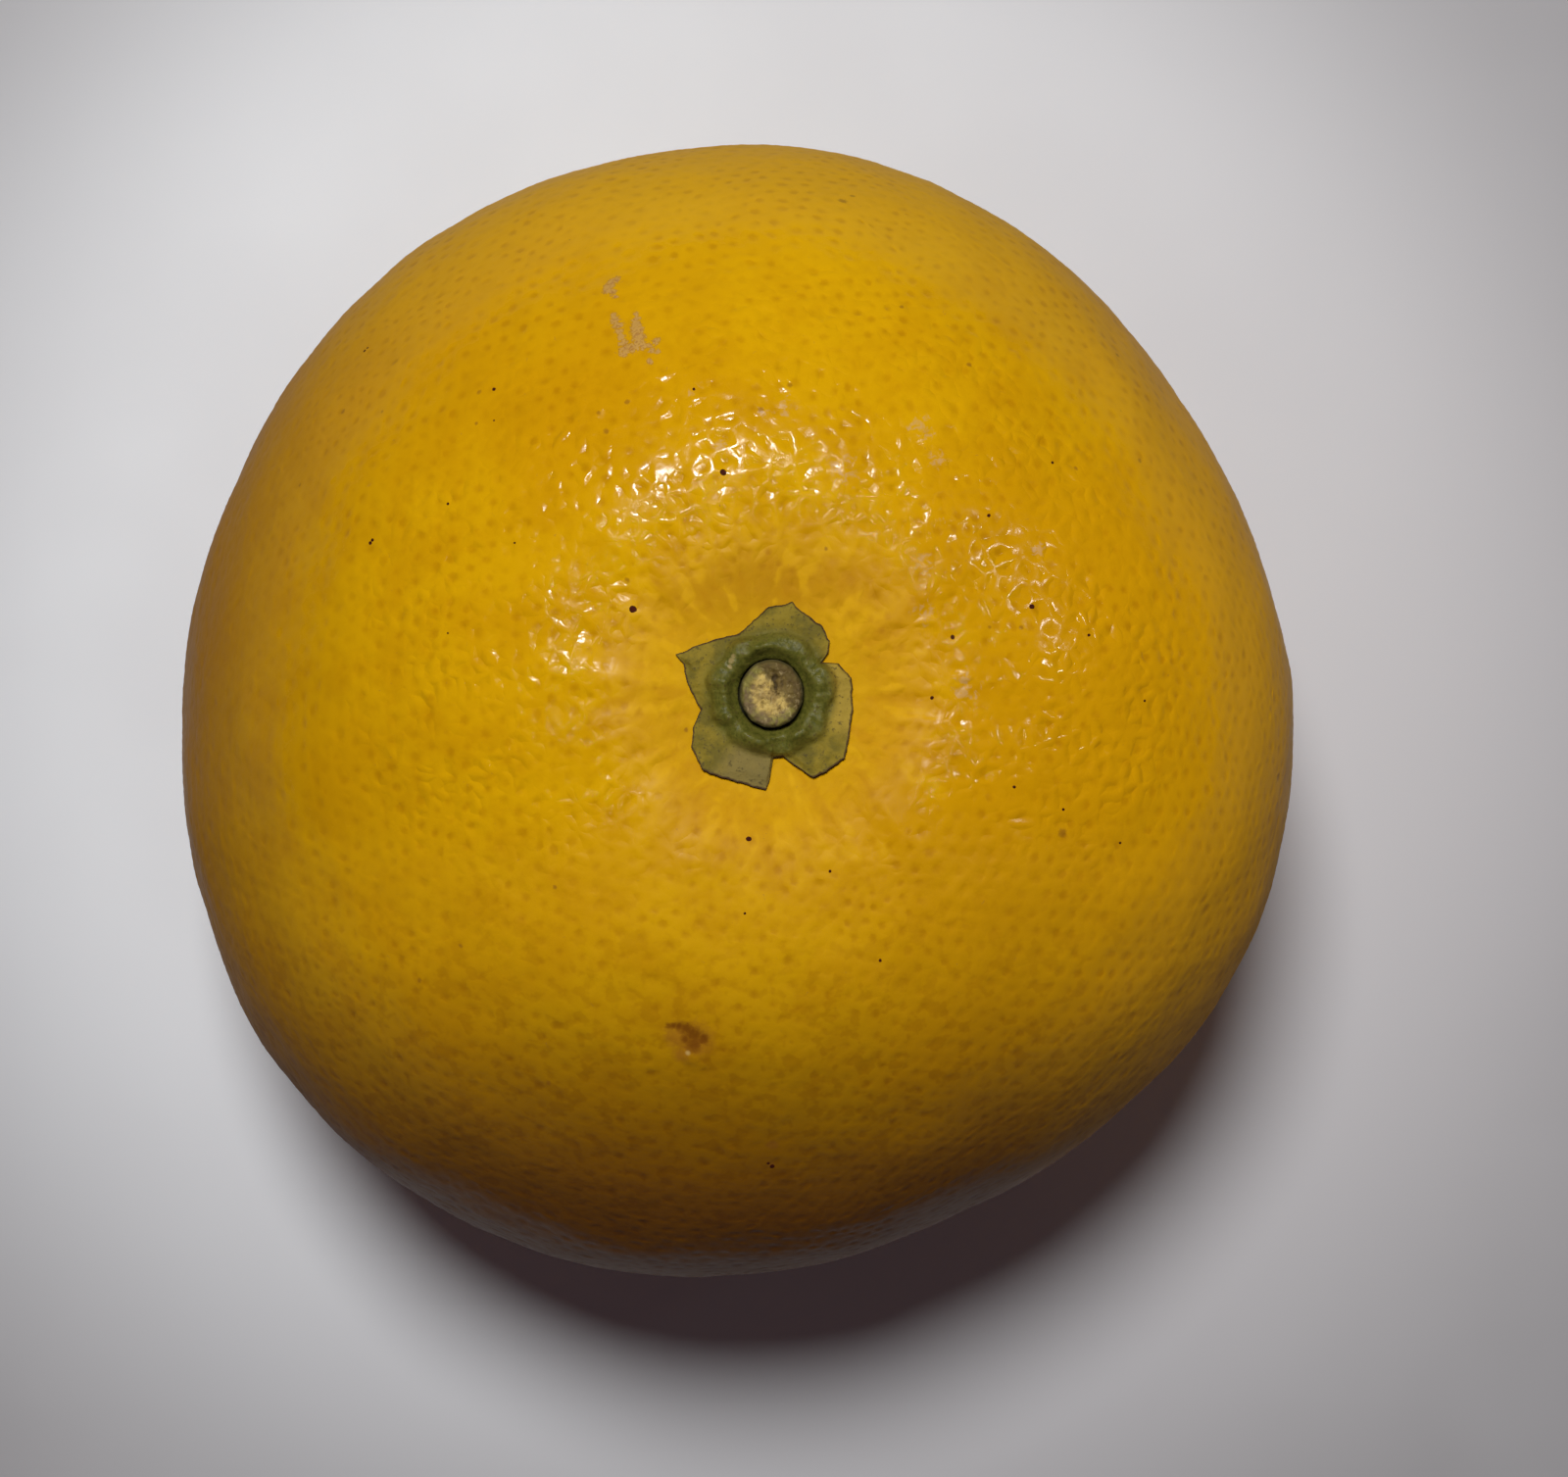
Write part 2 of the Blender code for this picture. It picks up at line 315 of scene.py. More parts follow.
# Marks, each at its pixel in the photo, with its size in millimetres
marks = {
    "specks": (
        (646, 622, 0.35), (738, 482, 0.29), (764, 856, 0.24), (1053, 619, 0.25), (972, 650, 0.20),
        (1009, 526, 0.17), (504, 397, 0.20), (898, 980, 0.16), (708, 397, 0.14), (525, 554, 0.10),
        (504, 429, 0.10), (457, 514, 0.14), (457, 646, 0.10), (951, 712, 0.17), (1074, 472, 0.15),
        (1111, 648, 0.15), (1035, 803, 0.15), (1085, 826, 0.14), (1143, 860, 0.13), (1168, 715, 0.13),
        (760, 932, 0.12), (847, 889, 0.14), (378, 554, 0.19), (380, 551, 0.17), (372, 358, 0.18),
        (375, 355, 0.15), (788, 1190, 0.24), (784, 1187, 0.16),
    ),
    "cork": (
        (629, 286, 0.48), (624, 288, 0.58), (621, 293, 0.62), (618, 297, 0.42), (625, 298, 0.46),
        (628, 303, 0.28), (626, 322, 0.34), (628, 327, 0.56), (631, 332, 0.56), (632, 338, 0.42),
        (634, 344, 0.40), (636, 350, 0.48), (638, 356, 0.66), (637, 361, 0.46), (644, 356, 0.62),
        (649, 354, 0.50), (649, 321, 0.32), (649, 326, 0.44), (650, 331, 0.56), (648, 337, 0.56),
        (653, 337, 0.48), (650, 343, 0.60), (655, 344, 0.46), (652, 349, 0.60), (656, 353, 0.52),
        (662, 353, 0.40), (669, 348, 0.42), (665, 358, 0.34), (671, 359, 0.28), (663, 369, 0.38),
    ),
    "bruise": (
        (682, 1047, 0.36), (687, 1047, 0.40), (693, 1048, 0.48), (700, 1050, 0.72), (707, 1056, 0.90),
        (717, 1061, 0.62), (708, 1066, 0.80), (699, 1060, 0.50),
    ),
    "lip": ((708, 1079, 0.9),),
    "halo": ((693, 1057, 1.6), (695, 1076, 0.9), (708, 1061, 2.0)),
    # a painted highlight on the bruise's lip
    "glint": ((702, 1074, 0.24),),
    # pale wax bloom, partly a painted highlight where the glints cluster
    "paleBloomAndHighlight": (
        (940, 436, 1.7), (955, 470, 1.3), (945, 575, 1.6), (985, 700, 2.0), (860, 478, 2.2), (800, 415, 1.5),
        (735, 455, 1.2), (777, 420, 1.0), (705, 400, 0.8), (940, 625, 1.6), (1060, 560, 1.2), (960, 535, 1.0),
    ),
    "fleck": (
        (788, 1168, 0.85), (787, 1188, 0.45), (860, 205, 0.6), (1090, 1130, 0.5), (428, 1000, 0.35),
        (1084, 850, 0.6), (1140, 362, 0.4), (989, 372, 0.35), (920, 313, 0.3), (806, 393, 0.35),
        (640, 410, 0.35), (618, 440, 0.4), (611, 421, 0.3), (489, 400, 0.35), (486, 432, 0.25),
        (350, 420, 0.4), (390, 420, 0.25), (306, 495, 0.3), (1163, 470, 0.35), (1098, 478, 0.3),
        (776, 418, 0.4), (843, 560, 0.25), (700, 745, 0.3), (640, 592, 0.35), (1042, 640, 0.3),
        (1010, 640, 0.25), (470, 965, 0.3), (566, 905, 0.3), (1170, 1090, 0.4), (560, 1105, 0.35),
        (870, 200, 0.35),
    ),
}
markLift = {"cork": 0.05 * mm, "bruise": -0.08 * mm, "lip": 0.22 * mm}
marksAbove = 30.0 * mm  # no mark lies lower on the fruit


def girthSwell(azimuth):
    waves = fruitForm["girthWaves"]
    return sum(height * math.cos(count * (azimuth - math.radians(peak))) for count, height, peak in waves)


def stemFurrow(azimuth, fromStem):
    broad = aroundAxis(azimuth) * peel["furrowFineness"]
    crease = noise.noise(broad) + ripple(broad, *peel["creaseOctave"])
    height = peel["furrowDepth"] * crease * band(peel["furrowBand"], fromStem)
    fine = aroundAxis(azimuth) * peel["streakFineness"] + Vector((0, 0, fromStem / peel["streakLength"]))
    return height + peel["streakDepth"] * noise.noise(fine) * band(peel["streakBand"], fromStem)


def formPoint(direction):
    # the smooth fruit in this direction from its heart, how far it is from the stem, and from the axis
    form = fruitForm
    azimuth = math.atan2(direction.y, direction.x)
    level = math.hypot(direction.x, direction.y)
    upper = direction.z > 0
    halfHeight = form["upperHalf"] if upper else form["lowerHalf"]
    halfWidth = form["width"] / 2
    steep = abs(direction.z) * halfWidth / halfHeight
    full = form["fullness"]
    reach = halfWidth * (level**full + steep**full) ** (-1 / full)
    out = reach * level * (1 + girthSwell(azimuth) * level)
    height = reach * direction.z
    if upper:
        rim = form["cavityRadius"] * (1 + form["cavityLobe"] * math.cos(form["cavityLobes"] * azimuth))
        height -= form["cavityDepth"] * raised(out, rim)
        height += stemFurrow(azimuth, out)
    lean = ((1 + height / halfHeight) / 2) ** 2 if height > -halfHeight else 0.0
    x = out * math.cos(azimuth) + form["stemOffset"][0] * lean
    y = out * math.sin(azimuth) + form["stemOffset"][1] * lean
    z = height + form["lowerHalf"] - form["restSink"]
    return Vector((x, y, z)), out if upper else form["width"], out


def tripleTriangles(shape):
    # every triangle is split at its middle and the old edges are turned, which keeps them even
    oldEdges = list(shape.edges)
    bmesh.ops.poke(shape, faces=list(shape.faces))
    bmesh.ops.rotate_edges(shape, edges=oldEdges)


def pittedBall(shape):
    # the vertices at gland pits and around them, with the share of the pit's depth at each
    draw = random.Random(peel["seed"])
    noise.seed_set(peel["seed"])  # or noise_vector differs in every run
    bmesh.ops.create_icosphere(shape, subdivisions=peel["ballSteps"], radius=1.0)
    pitch = sum(edge.calc_length() for edge in shape.edges) / len(shape.edges)
    pits = {}
    for vert in shape.verts:
        pits[vert] = 1 + draw.uniform(-peel["pitSpread"], peel["pitSpread"])
        turn = draw.uniform(0, math.tau)
        stray = math.sqrt(draw.random()) * peel["stray"] * pitch
        if abs(vert.co.z) < peel["poleCosine"]:
            side = vert.co.orthogonal().normalized()
            side.rotate(Quaternion(vert.co, turn))
            vert.co += side * stray + noise.noise_vector(vert.co * peel["warpFineness"]) * peel["warp"]
    tripleTriangles(shape)
    tripleTriangles(shape)
    around = {}
    for vert, depth in pits.items():
        for edge in vert.link_edges:
            around[edge.other_vert(vert)] = depth
    return pits, around


def peelRelief(place, fromStem, sunk):
    # swells, ripples and pits, outwards positive, smooth under the calyx and at the rest spot
    relief = peel["lumpHeight"] * noise.noise(place / peel["lumpSize"])
    for size, height in peel["ripples"]:
        relief += height * noise.noise(place / size + Vector(peel["rippleShift"]))
    furrowStart, furrowPeak = peel["furrowBand"][:2]
    calm = softStep(0.0, fruitForm["restMargin"], place.z)
    calm *= softStep(furrowStart, furrowPeak, fromStem)
    return (relief - peel["pitDepth"] * sunk) * calm, calm


def glandDot(middle, rim, calm):
    dot = middle * peelLayers["glandMiddle"] + rim * peelLayers["glandAround"]
    least = peelLayers["glandCalm"]
    return dot * (least + (1 - least) * calm)


def streakTint(azimuth, fromStem):
    # pale and dark rays round the stem, positive and negative
    ray = aroundAxis(azimuth, fromStem / peelLayers["streakLength"]) * peelLayers["streakFineness"]
    strength = noise.noise(ray) + ripple(ray, *peelLayers["streakOctave"])
    return strength * band(peelLayers["streakBand"], fromStem)


def makePeel():
    shape = bmesh.new()
    for name in peelLayers["names"]:
        shape.verts.layers.float.new(name)
    layers = {name: shape.verts.layers.float[name] for name in peelLayers["names"]}
    pits, around = pittedBall(shape)
    for vert in shape.verts:
        ball = vert.co.normalized()
        azimuth = math.atan2(ball.y, ball.x)
        polar = math.acos(max(-1.0, min(1.0, ball.z)))
        polar -= peel["crowdTop"] * math.sin(polar)
        level = math.sin(polar)
        way = Vector((level * math.cos(azimuth), level * math.sin(azimuth), math.cos(polar)))
        place, fromStem, out = formPoint(way)
        relief, calm = peelRelief(place, fromStem, pits.get(vert, around.get(vert, 0.0) * peel["midDepth"]))
        place += way * relief
        place.z = max(place.z, 0.0)
        if ball.z < 0 and out < fruitForm["scarRadius"]:
            place.z += fruitForm["scarDepth"] * (1 - (out / fruitForm["scarRadius"]) ** 2)
        vert.co = place
        vert[layers["gland"]] = glandDot(pits.get(vert, 0.0), around.get(vert, 0.0), calm)
        vert[layers["nearStem"]] = raised(fromStem, peelLayers["stemReach"])
        vert[layers["streak"]] = streakTint(azimuth, fromStem)
        vert[layers["underside"]] = raised(out, peelLayers["scarReach"]) if ball.z < 0 else 0.0
    return shape, layers


def settlePeel(shape):
    # the peel is moved level, so that its middle is the solid fruit's
    low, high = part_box("fruit")
    middle = (low + high) / 2
    for axis in (0, 1):
        places = [vert.co[axis] for vert in shape.verts]
        shift = middle[axis] - (min(places) + max(places)) / 2
        for vert in shape.verts:
            vert.co[axis] += shift


def paleBloomAndHighlightAt(place, spots):
    return max(1 - softStep(0.0, 2 * size, (place - middle).length) for middle, normal, size in spots)


def markPeel(shape, paleBloomAndHighlightLayer):
    # the scabs and the lip stand up a little and the bruise is a dent; returns each mark's place
    solid = BVHTree.FromBMesh(shape)
    spots = {}
    for kind in ("cork", "bruise", "halo", "lip", "glint", "paleBloomAndHighlight", "fleck"):
        spots[kind] = [(*pixelOnto(solid, (x, y)), size * mm) for x, y, size in marks[kind]]
    for vert in shape.verts:
        if vert.co.z < marksAbove:
            continue
        vert[paleBloomAndHighlightLayer] = paleBloomAndHighlightAt(vert.co, spots["paleBloomAndHighlight"])
        for kind, height in markLift.items():
            for place, normal, size in spots[kind]:
                gap = (vert.co - place).length
                if gap < 3 * size:
                    vert.co += normal * height * raised(gap, size)
    return spots


def stemAxisTop(shape, nearStem):
    # the place on the peel right at the stem's axis
    near = [vert.co for vert in shape.verts if vert[nearStem] > peel["axisShare"]]
    return max(near, key=lambda place: place.z).copy()


# Looks of the peel. Its noises are size, detail, roughness and distortion.
wax = {
    "roughness": 0.27,
    "ior": 1.30,
    "sheen": 0.04,
    "sheenRoughness": 0.3,
    "markDullness": 0.3,
}
peelNoises = {
    "broad": (38.0 * mm, 2),
    "mottle": (5.5 * mm, 4, 0.6),
    "grain": (1.1 * mm, 3),
    "skin": (1.7 * mm, 2),
    "dotPatches": (7.0 * mm, 2),
    "paleBloomAndHighlightNoise": (0.8 * mm, 4, 0.65, 0.8),
    "corkNoise": (0.55 * mm, 5, 0.7, 1.0),
    "bruiseNoise": (0.7 * mm, 4, 0.65, 0.6),
    "clumps": (6.0 * mm, 1),
    "pores": (0.45 * mm, 3, 0.6),
}

# Tints of the peel, each laid over those before it: what it follows, then the tint itself
golden = (0.70, 0.375, 0.0012)
amber = (0.64, 0.312, 0.0010)
goldenToAmber = (0.38, 0.64)
groundTints = (
    ("height", (88 * mm, 50 * mm, 0.80, (0.50, 0.205, 0.0012))),  # painted shade: the lower flanks darker
    ("mottle", (0.40, 0.66, 0.60, (0.60, 0.290, 0.0010))),
    ("nearStem", (0.40, 0.90, 0.70, (0.63, 0.340, 0.0010))),
)
raysAndPaintedShading = (
    ("streak", (0.05, 0.55, 0.50, (0.78, 0.430, 0.0030))),
    ("streak", (-0.05, -0.55, 0.40, (0.52, 0.230, 0.0010))),
    ("side", (-17 * mm, -52 * mm, 0.96, (0.185, 0.063, 0.0010))),  # painted shade: the near side darker, as in the fruit's own shade
    # painted light: the far side, towards the lamp, lighter
    ("side", (26 * mm, 58 * mm, 0.70, (0.80, 0.440, 0.0030))),
    # painted shade: the left side darker
    ("across", (-28 * mm, -62 * mm, 0.68, (0.34, 0.140, 0.0010))),
    # painted light: the right side lighter, in place of a lamp's fill
    ("across", (25 * mm, 55 * mm, 0.85, (0.84, 0.420, 0.0020))),
)
# painted shade: the hollow's wall above the stem darker, on the side that faces away from the light
paintedStemShade = {
    "ring": (0.30, 0.75),
    "side": (6 * mm, 15 * mm),
    "share": 0.95,
    "colour": (0.43, 0.185, 0.0010),
}
hollowShade = {
    "skin": (0.50, 0.38),
    "side": (-10 * mm, -36 * mm, 0.10, 0.45),
    "colour": (0.70, 0.60, 0.80),
}
glandShade = {
    "raggedness": 0.35,
    "from": (0.04, 0.80),
    "patches": (0.36, 0.64, 0.13, 0.42),
    "across": (-30 * mm, -50 * mm, 1.0, 0.45),
    "colour": (0.62, 0.47, 0.85),
}
markTints = {
    # pale wax bloom, partly a painted highlight
    "paleBloomAndHighlight": (1.88, 2.22, 0.46, (0.58, 0.370, 0.190)),
    "corkRim": (1.66, 1.84, 0.50, (0.27, 0.115, 0.040)),
    "halo": (0.75, 1.50, 0.60, (0.33, 0.125, 0.012)),
    "bruise": (0.70, 1.50, 0.88, (0.19, 0.060, 0.003)),
    # painted highlight
    "glint": (0.10, 1.00, 0.80, (0.62, 0.420, 0.140)),
    "fleck": (1.00, 1.50, 0.60, (0.26, 0.100, 0.010)),
    # painted shade: the peel under the calyx and in the gap round the stem nearly black
    "gapShadeUnderCalyx": (0.922, 0.945, 1.00, (0.020, 0.018, 0.006)),
    "scar": (0.62, 0.92, 1.00, (0.20, 0.120, 0.035)),
}
paleBloomAndHighlightRaggedness = 2.2
corkLook = {
    "raggedness": 2.5,
    "from": (1.84, 1.98),
    "share": 0.8,
    "grain": (0.42, 0.52),
    "dark": (0.40, 0.190, 0.060),
    "light": (0.60, 0.345, 0.078),
}

# The wax's roughness by its grain, and what makes it duller: from, to, and the roughness there
dullness = {
    "grain": (0.3, 0.7, 0.12, 0.20),
    "nearStem": (0.22, 0.60, 0.0, 0.60),
    "turned": (0.25, 0.65, 0.0, 0.55),
    "side": (-7 * mm, -16 * mm, 0.0, 0.30),
    "glossySide": (-38 * mm, -50 * mm),
    "glossyRim": (0.56, 0.72),
    "glossyShare": 0.45,
}

# The fine relief of the peel
fineRelief = {
    "sway": 3.0 * mm,
    "swayDetail": 2.6,
    "swayWidth": 1.4 * mm,
    "dimple": 1.9 * mm,
    "dimpleDepth": 0.12 * mm,
    "fromRidge": (0.03, 0.50),
    "clumps": (0.38, 0.62, 0.5, 1.4),
    "height": (89 * mm, 98 * mm, -0.07, -1.0),
    "side": (-20 * mm, -4 * mm, 0.2, 1.0),
    "poreDepth": 0.012 * mm,
    "poreStrength": 0.5,
    "skinLeft": (-40 * mm, -56 * mm, 0.07 * mm, 0.22 * mm),
    "skinNear": (-28 * mm, -50 * mm, 0.07 * mm, 0.19 * mm),
    "skinStrength": 0.6,
    "dotDepth": (-46 * mm, -55 * mm, 0.03 * mm, 0.09 * mm),
    "dotStrength": 0.5,
}


def peelDrivers(tree):
    # what the peel's looks follow: the place, the painted layers and the noises
    coords = objectCoords(tree)
    split = addNode(tree, "ShaderNodeSeparateXYZ", {"Vector": coords}).outputs
    drivers = {"coords": coords, "across": split["X"], "side": split["Y"], "height": split["Z"]}
    for name in peelLayers["names"]:
        drivers[name] = painted(tree, name)
    for name, settings in peelNoises.items():
        drivers[name] = speckle(tree, coords, *settings)
    return drivers


def peelGround(tree, drivers):
    # the golden peel and its rays, with painted shade on its lower flanks, near and left sides and above the
    # stem and painted light on its far and right sides, before dots and marks
    colour = mixColour(tree, ramp(tree, drivers["broad"], *goldenToAmber), golden, amber)
    for name, tint in groundTints:
        colour = tinted(tree, colour, drivers[name], tint)
    # painted shade above the stem
    ring = ramp(tree, drivers["nearStem"], *paintedStemShade["ring"])
    stemShadeShare = times(tree, ring, ramp(tree, drivers["side"], *paintedStemShade["side"]))
    colour = mixColour(tree, times(tree, stemShadeShare, paintedStemShade["share"]), colour, paintedStemShade["colour"])
    # the rays, then painted shade and light on the fruit's sides
    for name, tint in raysAndPaintedShading:
        colour = tinted(tree, colour, drivers[name], tint)
    low = ramp(tree, drivers["skin"], *hollowShade["skin"])
    hollows = times(tree, low, ramp(tree, drivers["side"], *hollowShade["side"]))
    return mixColour(tree, hollows, colour, hollowShade["colour"], "MULTIPLY")


def glandDots(tree, drivers):
    edge = strayed(tree, drivers["gland"], drivers["grain"], glandShade["raggedness"])
    return ramp(tree, edge, *glandShade["from"])


def dottedColour(tree, drivers, dots, colour):
    patches = ramp(tree, drivers["dotPatches"], *glandShade["patches"])
    share = times(tree, patches, ramp(tree, drivers["across"], *glandShade["across"]))
    return mixColour(tree, times(tree, dots, share), colour, glandShade["colour"], "MULTIPLY")


def markedColour(tree, drivers, spots, colour):
    # every mark laid over the peel's colour, with a painted highlight on the bruise's lip, pale bloom that is
    # partly a painted highlight and painted shade under the calyx, and where the marks take the shine away
    near = {}
    for kind in ("cork", "halo", "bruise", "glint", "fleck"):
        places = [(place, size) for place, normal, size in spots[kind]]
        near[kind] = spotMask(tree, drivers["coords"], places)

    # pale wax bloom, partly a painted highlight where the glints cluster
    paleBloomAndHighlight = plus(tree, drivers["paleBloomAndHighlight"], times(tree, drivers["paleBloomAndHighlightNoise"], paleBloomAndHighlightRaggedness))
    paleBloomAndHighlightMask = tintMask(tree, paleBloomAndHighlight, markTints["paleBloomAndHighlight"])
    colour = mixColour(tree, paleBloomAndHighlightMask, colour, markTints["paleBloomAndHighlight"][3])

    cork = plus(tree, near["cork"], times(tree, drivers["corkNoise"], corkLook["raggedness"]))
    corkMask = ramp(tree, cork, *corkLook["from"])
    corkGrain = ramp(tree, drivers["corkNoise"], *corkLook["grain"])
    corkTone = mixColour(tree, corkGrain, corkLook["dark"], corkLook["light"])
    colour = tinted(tree, colour, cork, markTints["corkRim"])
    colour = mixColour(tree, times(tree, corkMask, corkLook["share"]), colour, corkTone)

    colour = tinted(tree, colour, plus(tree, near["halo"], drivers["bruiseNoise"]), markTints["halo"])
    colour = tinted(tree, colour, plus(tree, near["bruise"], drivers["bruiseNoise"]), markTints["bruise"])
    # painted highlight on the lip
    colour = tinted(tree, colour, near["glint"], markTints["glint"])
    colour = tinted(tree, colour, plus(tree, near["fleck"], drivers["corkNoise"]), markTints["fleck"])
    # painted shade under the calyx and round the stem
    colour = tinted(tree, colour, drivers["nearStem"], markTints["gapShadeUnderCalyx"])
    scar = tintMask(tree, drivers["underside"], markTints["scar"])
    colour = mixColour(tree, scar, colour, markTints["scar"][3])
    return colour, greater(tree, corkMask, greater(tree, paleBloomAndHighlightMask, scar))


def waxRoughness(tree, drivers, marked):
    # duller on marks, round the stem, on the near side and where the peel turns away
    side = drivers["side"]
    turned = addNode(tree, "ShaderNodeLayerWeight", {"Blend": 0.5}).outputs["Facing"]
    dull = times(tree, marked, wax["markDullness"])
    dull = plus(tree, dull, ramp(tree, drivers["nearStem"], *dullness["nearStem"]))
    dull = plus(tree, dull, ramp(tree, turned, *dullness["turned"]))
    dull = plus(tree, dull, ramp(tree, side, *dullness["side"]))
    rim = ramp(tree, turned, *dullness["glossyRim"])
    lowRim = times(tree, ramp(tree, side, *dullness["glossySide"]), rim)
    dull = doMath(tree, "SUBTRACT", dull, times(tree, lowRim, dullness["glossyShare"]))
    return plus(tree, ramp(tree, drivers["grain"], *dullness["grain"]), dull)


def dimples(tree, drivers):
    # bowls that meet in rounded ridges, deepest round the stem end
    form = fineRelief
    coords = drivers["coords"]
    sway = addNode(
        tree,
        "ShaderNodeTexNoise",
        {"Vector": coords, "Scale": 1 / form["sway"], "Detail": form["swayDetail"]},
    )
    swayed = addNode(
        tree,
        "ShaderNodeVectorMath",
        {0: sway.outputs["Color"], 1: (form["swayWidth"],) * 3, 2: coords},
        operation="MULTIPLY_ADD",
    )
    cells = addNode(
        tree,
        "ShaderNodeTexVoronoi",
        {"Vector": swayed.outputs["Vector"], "Scale": 1 / form["dimple"]},
        feature="DISTANCE_TO_EDGE",
    )
    share = times(
        tree,
        ramp(tree, drivers["clumps"], *form["clumps"]),
        ramp(tree, drivers["height"], *form["height"]),
    )
    share = times(tree, share, ramp(tree, drivers["side"], *form["side"]))
    return times(tree, ramp(tree, cells.outputs["Distance"], *form["fromRidge"]), share)


def peelNormal(tree, drivers, dots):
    # four reliefs over one another: dimples, pores, the wrinkled skin and the glands
    form = fineRelief
    normal = bumped(tree, dimples(tree, drivers), form["dimpleDepth"], 1.0)
    normal = bumped(tree, drivers["pores"], form["poreDepth"], form["poreStrength"], normal)
    skinLeft = ramp(tree, drivers["across"], *form["skinLeft"])
    skinDepth = greater(tree, skinLeft, ramp(tree, drivers["side"], *form["skinNear"]))
    normal = bumped(tree, drivers["skin"], skinDepth, form["skinStrength"], normal)
    dotDepth = ramp(tree, drivers["side"], *form["dotDepth"])
    return bumped(tree, dots, dotDepth, form["dotStrength"], normal, inward=True)


def peelMaterial(spots):
    material, tree, shader = newMaterial("waxyPeel", wax["roughness"], ior=wax["ior"])
    shader.inputs["Sheen Weight"].default_value = wax["sheen"]
    shader.inputs["Sheen Roughness"].default_value = wax["sheenRoughness"]
    drivers = peelDrivers(tree)
    dots = glandDots(tree, drivers)
    colour = dottedColour(tree, drivers, dots, peelGround(tree, drivers))
    colour, marked = markedColour(tree, drivers, spots, colour)
    tree.links.new(colour, shader.inputs["Base Color"])
    tree.links.new(waxRoughness(tree, drivers, marked), shader.inputs["Roughness"])
    tree.links.new(peelNormal(tree, drivers, dots), shader.inputs["Normal"])
    return material


peelShape, paintedOn = makePeel()
settlePeel(peelShape)
peelSpots = markPeel(peelShape, paintedOn["paleBloomAndHighlight"])
stemFoot = stemAxisTop(peelShape, paintedOn["nearStem"])
peelPiece = newPiece("peel", peelShape, peelMaterial(peelSpots), "fruit")
peelCorners = [vertex.co for vertex in peelPiece.data.vertices]
peelTree = BVHTree.FromPolygons(peelCorners, [polygon.vertices[:] for polygon in peelPiece.data.polygons])
print("peel made:", len(peelPiece.data.polygons), "triangles, stem at", [round(c / mm, 2) for c in stemFoot])

# Pinprick specks: small dark domes that sit almost flush in the peel
specks = {
    "segments": 10,
    "rows": 6,
    "flatten": (1.0, 1.15, 0.10),
    "roughness": 0.7,
    "specular": 0.1,
    "grain": 0.3 * mm,
    "grainLimits": (0.3, 0.7),
    "dark": (0.042, 0.0068, 0.0040),
    "light": (0.075, 0.0140, 0.0060),
}


def speckMaterial():
    material, tree, shader = newMaterial("speckBrown", specks["roughness"], specular=specks["specular"])
    grain = speckle(tree, objectCoords(tree), specks["grain"])
    tone = ramp(tree, grain, *specks["grainLimits"])
    tree.links.new(mixColour(tree, tone, specks["dark"], specks["light"]), shader.inputs["Base Color"])
    return material


def makeSpecks(material):
    shape = bmesh.new()
    for x, y, radius in marks["specks"]:
        place, normal = pixelOnto(peelTree, (x, y))
        made = bmesh.ops.create_uvsphere(
            shape, u_segments=specks["segments"], v_segments=specks["rows"], radius=radius * mm
        )["verts"]
        bmesh.ops.scale(shape, vec=specks["flatten"], verts=made)
        turn = normal.to_track_quat("Z", "Y").to_matrix()
        bmesh.ops.rotate(shape, matrix=turn, verts=made)
        bmesh.ops.translate(shape, vec=place, verts=made)
    return newPiece("specks", shape, material, None)


makeSpecks(speckMaterial())
print("specks made")

# Calyx: the star of dried sepals and the fleshy collar round the stem. Its lengths are in millimetres.
calyx = {
    # corners of the star: angle in degrees from picture right, and reach
    "corners": (
        (32, 5.6), (36, 6.7), (42, 7.4), (52, 7.95), (63, 8.1), (72, 8.35), (77, 8.9), (82, 8.4), (91, 8.2),
        (118, 6.35), (134, 7.2), (147, 8.3), (154, 9.0), (157.5, 9.7), (161, 8.7), (173, 7.9), (193, 6.75),
        (203, 7.9), (214, 9.0), (229, 9.6), (249, 8.8), (267, 9.05), (269, 8.2), (272, 6.05), (281, 5.95),
        (286, 6.7), (297, 8.85), (306, 8.9), (319, 9.2), (336, 8.15), (350, 7.8), (371, 7.7), (384, 6.95),
    ),
    "ragged": (0.012, 2.3, 5.0),  # share of the reach, fineness, and which pattern
    "hole": 3.12,
    "stretch": 1.06,
    "edgeStep": 0.22,
    "rings": 26,
    # the collar: how high, where its crest and foot run, and how both wander (height, fineness)
    "crest": 4.35,
    "crestWander": (0.45, 1.7),
    "collarIn": 0.70,
    "collarFoot": 6.1,
    "footWander": (0.12, 2.3, (9, 0, 0)),
    "collarHeight": 1.35,
    "heightWander": (0.25, 2.0),
    "shoulder": 0.35,  # share of its height that it loses before the last drop
    "shoulderEnd": 0.7,
    "dropStart": 0.8,
    "lumps": ((0.36, 0.45), (0.20, 1.15, (0, 0, 7))),
    # the sepals
    "thickness": 0.62,
    "edgeThickness": 0.30,
    "edgeWidth": 1.4,
    "gap": 0.06,
    "curl": 0.32,
    "curlWander": (0.5, 1.8, 2.0),
    "rays": (0.06, 14, 0.35),  # wrinkles along the sepals: height, fineness across and along
    "wrinkles": ((0.05, 1.7), (0.03, 4.1)),
    "wrinkleEdge": 0.5,
    # sepals of another colour, by degrees and by reach
    "greyLobe": {"degrees": (226, 244, 268, 274), "reach": (5.2, 6.2)},
    "paleLobe": {"middle": 4, "degrees": (24, 42), "reach": (5.6, 6.6)},
}


